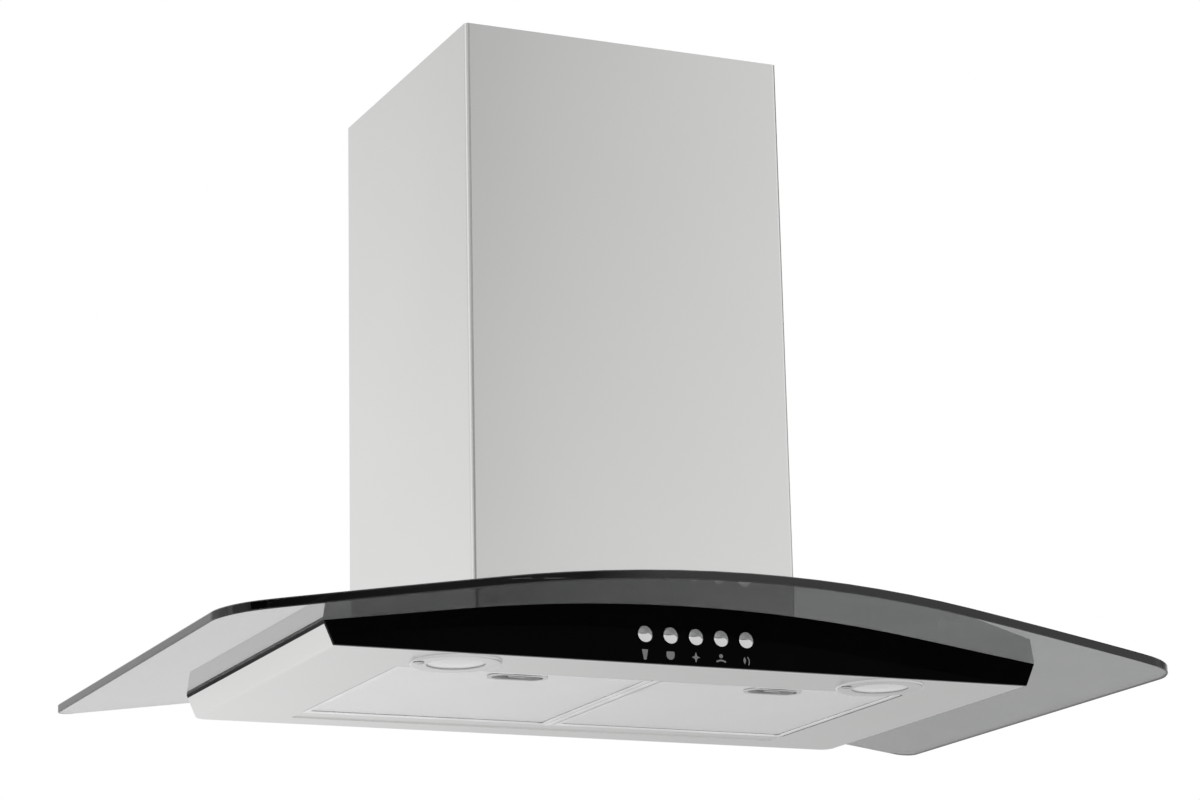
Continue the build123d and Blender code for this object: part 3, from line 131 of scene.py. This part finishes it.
def grain_group():
    """Fine grain of moulded plastic, rubber or cast metal, with faint marks from hands."""
    tree, given, end = new_group("grain", [
        ("Place", "NodeSocketVector", (0, 0, 0)),
        ("Scale", "NodeSocketFloat", 900.0),
    ], [("Grain", "NodeSocketFloat"), ("Marks", "NodeSocketFloat")])
    fine = add(tree, "ShaderNodeTexNoise", {"Vector": given["Place"], "Scale": given["Scale"], "Detail": 2.0})
    marks = add(tree, "ShaderNodeTexNoise", {"Vector": given["Place"], "Scale": 14.0, "Detail": 5.0})
    tree.links.new(remap(tree, fine.outputs[0], 0.3, 0.7), end.inputs["Grain"])
    tree.links.new(remap(tree, marks.outputs[0], 0.4, 0.68), end.inputs["Marks"])
    return tree


def filter_strands_group():
    """Diamond net of expanded metal: 1 on a strand and 0 in a hole."""
    tree, given, end = new_group("filter_strands", [
        ("Place", "NodeSocketVector", (0, 0, 0)),
        ("Pitch", "NodeSocketFloat", 0.006),
    ], [("Strand", "NodeSocketFloat")])
    axes = add(tree, "ShaderNodeSeparateXYZ", {0: given["Place"]})
    turns = math_node(tree, "DIVIDE", 2 * pi, given["Pitch"])
    across = math_node(tree, "MULTIPLY", axes.outputs["X"], turns)
    along = math_node(tree, "MULTIPLY", math_node(tree, "MULTIPLY", axes.outputs["Y"], turns), 2.0)
    waves = [
        math_node(tree, "ABSOLUTE", math_node(tree, "SINE", math_node(tree, operation, across, along)))
        for operation in ("ADD", "SUBTRACT")
    ]
    net = math_node(tree, "MINIMUM", *waves)
    tree.links.new(remap(tree, net, 0.55, 0.15), end.inputs["Strand"])
    return tree


# Round screens of the studio: the middle's direction, the cosines where the soft edge starts and
# ends, and the level inside.
HUNG_SCREENS = (
    ((-0.45, -0.80, 0.40), 0.640, 0.685, 0.25),
    ((-0.30, -0.87, 0.36), 0.88, 0.94, 0.10),
    ((-0.55, 0.70, 0.45), 0.945, 0.975, 0.60),
    ((0.85, 0.10, 0.52), 0.86, 0.95, 0.12),
)
DIM_FLOOR = (((0.60, 0.62, -0.50), 0.86, 0.96, 0.55),)
SCREEN_FOOT = (0.05, 0.20)      # height of direction over which the hung screens fade in


def surroundings_group():
    """How light the studio is in a direction: white, with hung screens and a dim stretch of floor."""
    tree, given, end = new_group("surroundings", [("Direction", "NodeSocketVector", (0, 0, 0))],
                                 [("Level", "NodeSocketFloat")])
    toward = vector_node(tree, "NORMALIZE", given["Direction"]).outputs[0]
    height = add(tree, "ShaderNodeSeparateXYZ", {0: toward}).outputs["Z"]
    level = dimmed(tree, toward, HUNG_SCREENS)
    hung = choose(tree, remap(tree, height, *SCREEN_FOOT), 1.0, level)
    level = math_node(tree, "MULTIPLY", hung, dimmed(tree, toward, DIM_FLOOR))
    tree.links.new(level, end.inputs["Level"])
    return tree


def dimmed(tree, toward, sides):
    """Light left in a direction by round screens."""
    level = 1.0
    for middle, start, full, least in sides:
        near = vector_node(tree, "DOT_PRODUCT", toward, Vector(middle).normalized()).outputs["Value"]
        level = math_node(tree, "MULTIPLY", remap(tree, near, start, full, 1.0, least), level)
    return level


GROUPS = {
    "brush_lines": brush_lines_group(),
    "edge_wear_and_highlight": edge_wear_and_highlight_group(),
    "grain": grain_group(),
    "filter_strands": filter_strands_group(),
    "surroundings": surroundings_group(),
}


def place_group(tree, name, **inputs):
    """A shared effect in a material, fed with the surface's own coordinates."""
    node = add(tree, "ShaderNodeGroup", node_tree=GROUPS[name])
    where = add(tree, "ShaderNodeTexCoord").outputs["Object"]
    tree.links.new(where, node.inputs["Place"])
    for key, value in inputs.items():
        node.inputs[key].default_value = value
    return node.outputs


def new_material(name, **constants):
    """A material with one Principled shader and its plain sockets set."""
    material = bpy.data.materials.new(name)
    material.use_nodes = True
    tree = material.node_tree
    shader = tree.nodes["Principled BSDF"]
    for key, value in constants.items():
        shader.inputs[key.replace("_", " ")].default_value = value
    return material, tree, shader


def blend_colour(tree, factor, first, second):
    """Colour between two colours or sockets."""
    node = add(tree, "ShaderNodeMix", data_type="RGBA")
    ends = ((node.inputs["Factor"], factor), (node.inputs[6], first), (node.inputs[7], second))
    for socket, value in ends:
        if isinstance(value, bpy.types.NodeSocket):
            tree.links.new(value, socket)
        else:
            socket.default_value = value
    return node.outputs[2]


def bump(tree, shader, height, strength, distance):
    """Small relief from a height, fed to the shader's normal."""
    node = add(tree, "ShaderNodeBump", {"Height": height, "Strength": strength, "Distance": distance})
    tree.links.new(node.outputs[0], shader.inputs["Normal"])


def grey(value, tint=PLAIN):
    """Opaque grey of a value, with an optional tint."""
    return tuple(value * part for part in tint) + (1.0,)


# ---- Materials ----

def brushed_steel(name, stretch, tone, rough=0.30):
    """Satin stainless steel with fine brush lines, faint clouds, and folds painted lighter as a highlight and
    rubbed smoother.
    """
    material, tree, shader = new_material(name, Metallic=1.0)
    lines = place_group(tree, "brush_lines", Stretch=stretch)
    # The rounded folds: rubbed smoother, and given a painted highlight.
    edge_mask = place_group(tree, "edge_wear_and_highlight", Amount=0.3)["Mask"]
    warm = (1.0, 1.0, 0.99)
    metal = blend_colour(tree, lines["Lines"], grey(tone * 0.985, warm), grey(tone * 1.01, warm))
    clouds = math_node(tree, "MULTIPLY", lines["Clouds"], 0.25)
    cloudy = blend_colour(tree, clouds, metal, grey(tone * 0.92, warm))
    # Painted highlight: the folds' colour is lightened towards grey 0.8.
    tree.links.new(blend_colour(tree, edge_mask, cloudy, grey(0.8)), shader.inputs["Base Color"])
    streaked = remap(tree, lines["Lines"], 0.0, 1.0, rough * 0.96, rough * 1.05)
    rubbed = math_node(tree, "SUBTRACT", streaked, math_node(tree, "MULTIPLY", edge_mask, 0.06))
    tree.links.new(rubbed, shader.inputs["Roughness"])
    bump(tree, shader, lines["Lines"], 0.03, 0.0001)
    return material


def zinc_steel(name):
    """Galvanised sheet with its spangle."""
    material, tree, shader = new_material(name, Metallic=1.0)
    where = add(tree, "ShaderNodeTexCoord").outputs["Object"]
    spangle = add(tree, "ShaderNodeTexVoronoi", {"Vector": where, "Scale": 90.0}).outputs["Color"]
    shade = add(tree, "ShaderNodeRGBToBW", {0: spangle}).outputs[0]
    cold = (0.97, 0.99, 1.02)
    tree.links.new(blend_colour(tree, shade, grey(0.42, cold), grey(0.56, cold)), shader.inputs["Base Color"])
    tree.links.new(remap(tree, shade, 0.0, 1.0, 0.34, 0.50), shader.inputs["Roughness"])
    bump(tree, shader, shade, 0.05, 0.0002)
    return material


def plain_metal(name, tone, rough, tint=PLAIN, grain=600.0):
    """Turned, cast or stamped metal with a fine grain and bright edges."""
    material, tree, shader = new_material(name, Metallic=1.0)
    surface = place_group(tree, "grain", Scale=grain)
    edge_mask = place_group(tree, "edge_wear_and_highlight", Amount=0.6)["Mask"]
    faint = math_node(tree, "MULTIPLY", surface["Marks"], 0.25)
    marked = blend_colour(tree, faint, grey(tone, tint), grey(tone * 0.8, tint))
    bright = grey(min(tone * 1.25, 0.92), tint)
    tree.links.new(blend_colour(tree, edge_mask, marked, bright), shader.inputs["Base Color"])
    smeared = remap(tree, surface["Marks"], 0.0, 1.0, rough * 0.9, rough * 1.35)
    tree.links.new(smeared, shader.inputs["Roughness"])
    bump(tree, shader, surface["Grain"], 0.04, 0.0001)
    return material


def moulded(name, tone, rough, grain=1400.0):
    """Moulded plastic or rubber with a fine grain, handling marks and worn corners."""
    material, tree, shader = new_material(name, Metallic=0.0)
    surface = place_group(tree, "grain", Scale=grain)
    edge_mask = place_group(tree, "edge_wear_and_highlight", Amount=0.35)["Mask"]
    faint = math_node(tree, "MULTIPLY", surface["Marks"], 0.3)
    marked = blend_colour(tree, faint, grey(tone), grey(tone * 1.3))
    worn = grey(tone * 2.0 + 0.01)
    tree.links.new(blend_colour(tree, edge_mask, marked, worn), shader.inputs["Base Color"])
    handled = remap(tree, surface["Marks"], 0.0, 1.0, rough * 1.1, rough * 0.85)
    tree.links.new(handled, shader.inputs["Roughness"])
    bump(tree, shader, surface["Grain"], 0.15, 0.0002)
    return material


def smoke_glass(name):
    """Grey tinted sheet glass, clear through its faces and dark along its edge, faintly marked by wiping."""
    material, tree, shader = new_material(name, Metallic=0.0, Transmission_Weight=1.0, IOR=1.5)
    surface = place_group(tree, "grain", Scale=40.0)
    tint = (0.97, 1.0, 0.985)
    normal = add(tree, "ShaderNodeTexCoord").outputs["Normal"]
    facing = add(tree, "ShaderNodeSeparateXYZ", {0: normal}).outputs["Z"]
    face = remap(tree, math_node(tree, "ABSOLUTE", facing), 0.6, 0.9)
    sheet = blend_colour(tree, surface["Marks"], grey(0.28, tint), grey(0.265, tint))
    tree.links.new(blend_colour(tree, face, grey(0.02, tint), sheet), shader.inputs["Base Color"])
    tree.links.new(remap(tree, surface["Marks"], 0.0, 1.0, 0.0, 0.018), shader.inputs["Roughness"])
    return material


def frosted_glass(name):
    """Ground lamp glass that scatters light, with a fine pebble."""
    material, tree, shader = new_material(name, Metallic=0.0, Transmission_Weight=0.1, IOR=1.5)
    surface = place_group(tree, "grain", Scale=700.0)
    pale = blend_colour(tree, surface["Marks"], grey(0.97), grey(0.94))
    tree.links.new(pale, shader.inputs["Base Color"])
    tree.links.new(remap(tree, surface["Grain"], 0.0, 1.0, 0.14, 0.24), shader.inputs["Roughness"])
    bump(tree, shader, surface["Grain"], 0.08, 0.0002)
    return material


def filter_net(name):
    """Layers of expanded aluminium seen as a pale diamond net, with painted shade darkening the holes."""
    material, tree, shader = new_material(name, Metallic=1.0)
    strand = place_group(tree, "filter_strands", Pitch=0.004)["Strand"]
    surface = place_group(tree, "grain", Scale=500.0)
    # Painted shade: the holes are a little darker than the strands, as if the layers below lay in shadow.
    hole_shade = blend_colour(tree, surface["Marks"], grey(0.91), grey(0.89))
    tree.links.new(blend_colour(tree, strand, hole_shade, grey(0.96)), shader.inputs["Base Color"])
    tree.links.new(remap(tree, strand, 0.0, 1.0, 0.5, 0.34), shader.inputs["Roughness"])
    bump(tree, shader, strand, 0.25, 0.0005)
    return material


def black_panel(name):
    """Black glass-like panel, with faint wiping marks in its gloss."""
    material, tree, shader = new_material(name, Metallic=0.0, Specular_IOR_Level=0.02)
    surface = place_group(tree, "grain", Scale=200.0)
    black = blend_colour(tree, surface["Marks"], grey(0.0006), grey(0.0012))
    tree.links.new(black, shader.inputs["Base Color"])
    tree.links.new(remap(tree, surface["Marks"], 0.0, 1.0, 0.03, 0.07), shader.inputs["Roughness"])
    return material


STEEL_TONE = 0.73
LEVEL_BRUSH = (12.0, 1400.0, 1400.0)        # brush lines run along X
UPRIGHT_BRUSH = (1400.0, 1400.0, 12.0)      # brush lines run along Z

FINISHES = {
    "steel_brushed": brushed_steel("steel_brushed", LEVEL_BRUSH, STEEL_TONE),
    "steel_zinc": zinc_steel("steel_zinc"),
    "steel_screw": plain_metal("steel_screw", 0.6, 0.28),
    "glass_smoke": smoke_glass("glass_smoke"),
    "glass_frosted": frosted_glass("glass_frosted"),
    "panel_black": black_panel("panel_black"),
    "chrome_bright": plain_metal("chrome_bright", 0.82, 0.07, grain=200.0),
    "plastic_black": moulded("plastic_black", 0.02, 0.5),
    "plastic_grey": moulded("plastic_grey", 0.25, 0.5),
    "aluminium_satin": plain_metal("aluminium_satin", 0.72, 0.32),
    "mesh_aluminium": filter_net("mesh_aluminium"),
    "rubber_black": moulded("rubber_black", 0.008, 0.75, grain=900.0),
    "motor_paint": moulded("motor_paint", 0.06, 0.4),
    "bush_bronze": plain_metal("bush_bronze", 0.6, 0.3, (1.0, 0.72, 0.38)),
}
CHIMNEY_STEEL = brushed_steel("steel_chimney", UPRIGHT_BRUSH, STEEL_TONE, rough=0.26)

# Finishes of single pieces, by the start of the node's name.
OWN_FINISHES = {
    "lower_chimney_cover": CHIMNEY_STEEL,
    "upper_chimney_cover": CHIMNEY_STEEL,
    "lamp_bezel": plain_metal("steel_bezel", 0.56, 0.16),
    "button_": plain_metal("chrome_button", 0.60, 0.08, grain=200.0),
    "filter_frame": plain_metal("aluminium_frame", 0.92, 0.28),
    "filter_divider": plain_metal("steel_divider", 0.90, 0.30),
}


def dress_nodes():
    """Give every node of the frame its slot's finish, or the one that its name asks for."""
    for entry in frame["record"]["subparts"]:
        finish = FINISHES[entry["material_slot"]]
        for start, own in OWN_FINISHES.items():
            if entry["node"].startswith(start):
                finish = own
        for held in frame["nodes"][entry["node"]].material_slots:
            held.material = finish


# ---- Printed signs under the buttons, outlines in millimetres across and up ----

def arc_points(centre, radius, start, end, steps=14):
    """Points along an arc in a sign's own plane, angles in degrees from its right."""
    turns = [radians(start + (end - start) * i / steps) for i in range(steps + 1)]
    return [(centre[0] + radius * cos(t), centre[1] + radius * sin(t)) for t in turns]


def stroke(centre, radius, width, start, end):
    """Outline of a bent bar."""
    outside = arc_points(centre, radius + width / 2, start, end)
    inside = arc_points(centre, radius - width / 2, end, start)
    return outside + inside


def lamp_sign():
    """Shade that narrows downwards, with a round foot."""
    return [[(-2.9, 4.4), (-1.5, -2.8)] + arc_points((0, -3.2), 1.5, 200, 340) + [(1.5, -2.8), (2.9, 4.4)]]


def stop_sign():
    """Cup with a flat top and a round foot."""
    return [arc_points((0, 0.4), 3.8, 180, 360) + [(3.8, 2.6)] + arc_points((2.8, 2.8), 1.0, 0, 90, 4)
            + arc_points((-2.8, 2.8), 1.0, 90, 180, 4)]


def low_sign():
    """Diamond with hollow sides."""
    reach, waist = (3.9, 4.8), 1.7
    corners = []
    for i in range(8):
        turn = radians(45 * i)
        spread = reach if i % 2 == 0 else (waist, waist)
        corners.append((spread[0] * cos(turn), spread[1] * sin(turn)))
    return [corners]


def medium_sign():
    """Dot over an arch."""
    return [arc_points((0, 2.4), 1.8, 0, 345, 16), stroke((0, -9.4), 8.0, 1.4, 56, 124)]


def high_sign():
    """Leaf and a bent bar beside it."""
    leaf = arc_points((1.6, -0.2), 4.2, 125, 235) + arc_points((-4.4, -0.2), 4.2, -42, 42)
    return [leaf, stroke((-3.2, -1.2), 6.2, 1.0, -28, 42)]


SIGNS = {
    "light": lamp_sign,
    "stop": stop_sign,
    "low": low_sign,
    "medium": medium_sign,
    "high": high_sign,
}
SIGN_DROP = 17.5 * MM           # button's middle to the sign's middle
INK_T = 0.06 * MM


def printed_sign(name, outlines, place):
    """Raised ink of one sign on the panel's face."""
    shape = bmesh.new()
    for outline in outlines:
        back = [shape.verts.new((place[0] + x * MM, place[1], place[2] + z * MM)) for x, z in outline]
        face = shape.faces.new(back)
        raised = bmesh.ops.extrude_face_region(shape, geom=[face])["geom"]
        moved = [part for part in raised if isinstance(part, bmesh.types.BMVert)]
        bmesh.ops.translate(shape, verts=moved, vec=(0, -INK_T, 0))
    bmesh.ops.recalc_face_normals(shape, faces=shape.faces)
    mesh = bpy.data.meshes.new(name)
    shape.to_mesh(mesh)
    shape.free()
    mesh.materials.append(FINISHES["plastic_grey"])
    sign = bpy.data.objects.new(name, mesh)
    bpy.context.scene.collection.objects.link(sign)
    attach(sign, "hood")


def print_signs():
    """One sign under each button."""
    panel_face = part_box("control_fascia")[0][1]
    for key, sign in SIGNS.items():
        low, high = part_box(f"button_{key}")
        place = ((low[0] + high[0]) / 2, panel_face, (low[2] + high[2]) / 2 - SIGN_DROP)
        printed_sign(f"sign_{key}", sign(), place)


# ---- Light, floor and camera ----

LAMP_TARGET = (0, -0.25, 0)
PLAIN_LEVEL = 0.8               # world as the matt surfaces see it
FLOOR_HALF = 14.0
FLOOR_Z = -1.5
FLOOR_FADE = (2.5, 9.0)         # the floor turns white over these distances


def area_lamp(name, place, side, watts):
    """Square soft box that points at the hood."""
    data = bpy.data.lights.new(name, "AREA")
    data.shape = "RECTANGLE"
    data.size = data.size_y = side
    data.energy = watts
    lamp = bpy.data.objects.new(name, data)
    lamp.location = place
    lamp.rotation_euler = (Vector(LAMP_TARGET) - Vector(place)).to_track_quat("-Z", "Y").to_euler()
    bpy.context.scene.collection.objects.link(lamp)


def light_scene():
    """White surroundings for what the camera, gloss and glass see, and a plain level for the rest."""
    world = bpy.data.worlds.new("studio")
    bpy.context.scene.world = world
    world.use_nodes = True
    tree = world.node_tree
    tree.nodes.clear()
    path = add(tree, "ShaderNodeLightPath").outputs
    toward = add(tree, "ShaderNodeTexCoord").outputs["Generated"]
    mirrored = add(tree, "ShaderNodeGroup", node_tree=GROUPS["surroundings"])
    tree.links.new(toward, mirrored.inputs["Direction"])
    level = choose(tree, path["Is Glossy Ray"], PLAIN_LEVEL, mirrored.outputs["Level"])
    seen = math_node(tree, "MAXIMUM", path["Is Camera Ray"], path["Is Transmission Ray"])
    sky = add(tree, "ShaderNodeBackground", {"Color": choose(tree, seen, level, 1.0)})
    end = add(tree, "ShaderNodeOutputWorld")
    tree.links.new(sky.outputs[0], end.inputs["Surface"])
    area_lamp("key", (-0.9, -2.7, 1.9), side=2.6, watts=9)
    area_lamp("fill", (-2.2, -1.4, 0.9), side=2.4, watts=7)


def floor_material():
    """Pale paint, white far off and clear from below. Gloss sees the surroundings in its place."""
    material, tree, paint = new_material("floor_paint", Metallic=0.0, Roughness=0.9, Specular_IOR_Level=0.1)
    surface = place_group(tree, "grain", Scale=60.0)
    pale = blend_colour(tree, surface["Marks"], grey(0.82), grey(0.80))
    tree.links.new(pale, paint.inputs["Base Color"])
    where = add(tree, "ShaderNodeTexCoord").outputs["Object"]
    mirrored = add(tree, "ShaderNodeGroup", node_tree=GROUPS["surroundings"])
    tree.links.new(where, mirrored.inputs["Direction"])
    path = add(tree, "ShaderNodeLightPath").outputs
    distance = vector_node(tree, "LENGTH", where).outputs["Value"]
    far = math_node(tree, "MULTIPLY", remap(tree, distance, *FLOOR_FADE), path["Is Camera Ray"])
    under = add(tree, "ShaderNodeNewGeometry").outputs["Backfacing"]
    seen = paint.outputs[0]
    for share, kind, inputs in (
        (path["Is Glossy Ray"], "ShaderNodeEmission", {"Color": mirrored.outputs["Level"]}),
        (far, "ShaderNodeEmission", {"Color": WHITE}),
        (under, "ShaderNodeBsdfTransparent", {}),
    ):
        other = add(tree, kind, inputs).outputs[0]
        seen = add(tree, "ShaderNodeMixShader", {0: share, 1: seen, 2: other}).outputs[0]
    tree.links.new(seen, tree.nodes["Material Output"].inputs["Surface"])
    return material


def floor():
    """Level plane far below the hanging hood."""
    mesh = bpy.data.meshes.new("floor")
    half = FLOOR_HALF
    outline = ((-half, -half), (half, -half), (half, half), (-half, half))
    mesh.from_pydata([(x, y, FLOOR_Z) for x, y in outline], [], [(0, 1, 2, 3)])
    plane = bpy.data.objects.new("floor", mesh)
    bpy.context.scene.collection.objects.link(plane)
    mesh.materials.append(floor_material())


PHOTO_WIDTH = 1200              # pixels
FOCAL_PIXELS = 3446.9
CAMERA_PLACE = (-1.28526, -3.07656, -0.75451)
CAMERA_TURN = (24.42, 14.76, -1.32)         # degrees of yaw to the right, pitch up and roll


def camera():
    """Camera at the photograph's place, found from the object's edges."""
    yaw, pitch, roll = (radians(angle) for angle in CAMERA_TURN)
    forward = Vector((sin(yaw) * cos(pitch), cos(yaw) * cos(pitch), sin(pitch)))
    level = Vector((cos(yaw), -sin(yaw), 0))
    upright = level.cross(forward)
    right = level * cos(roll) + upright * sin(roll)
    up = upright * cos(roll) - level * sin(roll)
    data = bpy.data.cameras.new("camera")
    data.sensor_fit = "HORIZONTAL"
    data.sensor_width = 36.0
    data.lens = FOCAL_PIXELS / PHOTO_WIDTH * data.sensor_width
    view = bpy.data.objects.new("camera", data)
    turn = Matrix((right, up, -forward)).transposed().to_4x4()
    view.matrix_world = Matrix.Translation(CAMERA_PLACE) @ turn
    bpy.context.scene.collection.objects.link(view)
    bpy.context.scene.camera = view


dress_nodes()
print_signs()
light_scene()
floor()
camera()
bpy.context.scene.view_settings.view_transform = "Standard"
